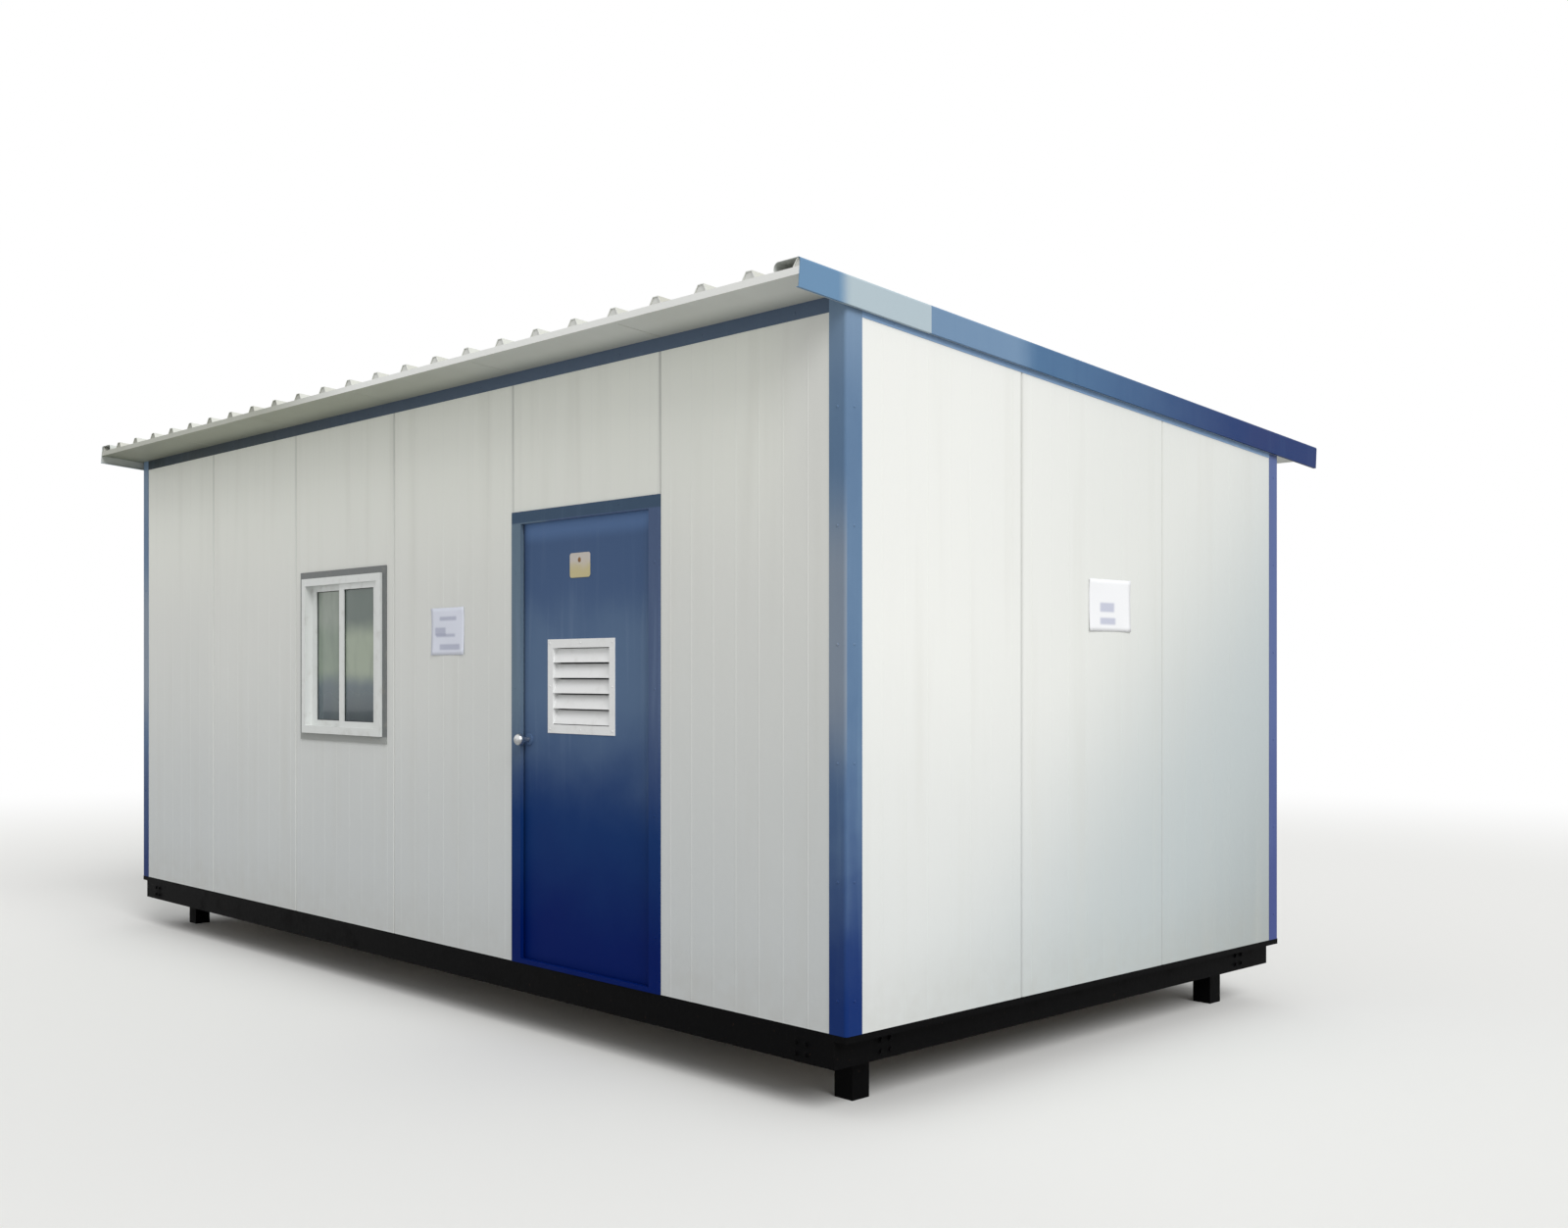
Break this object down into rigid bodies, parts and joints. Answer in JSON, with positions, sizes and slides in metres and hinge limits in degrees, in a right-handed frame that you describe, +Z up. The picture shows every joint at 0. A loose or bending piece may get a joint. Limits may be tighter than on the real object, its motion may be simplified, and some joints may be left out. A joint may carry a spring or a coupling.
{
  "type": "portable site cabin",
  "caption": "Portable site cabin: insulated panel walls on a steel base with legs, single-pitch ribbed roof, hinged vented door with a turning knob, and a sliding window.",
  "frame": {"origin": "on the ground, under the middle of the cabin's outer box", "axes": "+X along the front towards the end nearer the door, -Y out of the front, +Z up"},
  "size_m": [6.044, 3.6022, 2.953],
  "materials": {
    "wall_white": "satin coated sheet with fine lengthwise ribs",
    "roof_sheet": "weathered pale coated sheet",
    "trim_blue": "satin blue coated sheet",
    "door_blue": "satin deep blue paint",
    "base_black": "matt black paint",
    "floor_board": "sealed board",
    "vent_white": "satin white paint",
    "hardware_steel": "satin steel",
    "window_white": "white powder coat",
    "window_seal": "grey cover strip",
    "window_glass": "clear float glass"
  },
  "bodies": {
    "cabin": {"front_panels": "wall_white", "front_panel_over_door": "wall_white", "front_panel_window": "wall_white", "back_panels": "wall_white", "gable_panels_right": "wall_white", "gable_panels_left": "wall_white", "roof_panels": "roof_sheet", "eave_trims": "roof_sheet", "corner_trims": "trim_blue", "top_track_front": "trim_blue", "top_track_back": "trim_blue", "gable_tracks": "trim_blue", "verge_flashings": "trim_blue", "door_jambs": "door_blue", "door_head": "door_blue", "door_threshold": "door_blue", "base_legs": "base_black", "base_rails_long": "base_black", "base_rails_end": "base_black", "floor_joists": "base_black", "sills_long": "base_black", "sills_end": "base_black", "floor_deck": "floor_board", "hinge_frame_halves": "hardware_steel", "window_frame": "window_white", "window_sashes": "window_white", "window_cover": "window_seal", "window_glass": "window_glass"},
    "door": {"door_leaf": "door_blue", "door_vent": "vent_white", "hinge_door_halves": "hardware_steel", "knob_roses": "door_blue"},
    "knob": {"door_knob": "hardware_steel"}
  },
  "joints": [
    {"name": "door_swing", "type": "hinge", "parent": "cabin", "child": "door", "pos_m": [1.9465, -1.47548, 1.2595], "axis": [0, 0, -1], "range_deg": [0, 165]},
    {"name": "knob_turn", "type": "hinge", "parent": "door", "child": "knob", "pos_m": [1.099, -1.52548, 1.27], "axis": [0, -1, 0], "range_deg": [-60, 60], "stiffness_Nm_per_rad": 1}
  ]
}
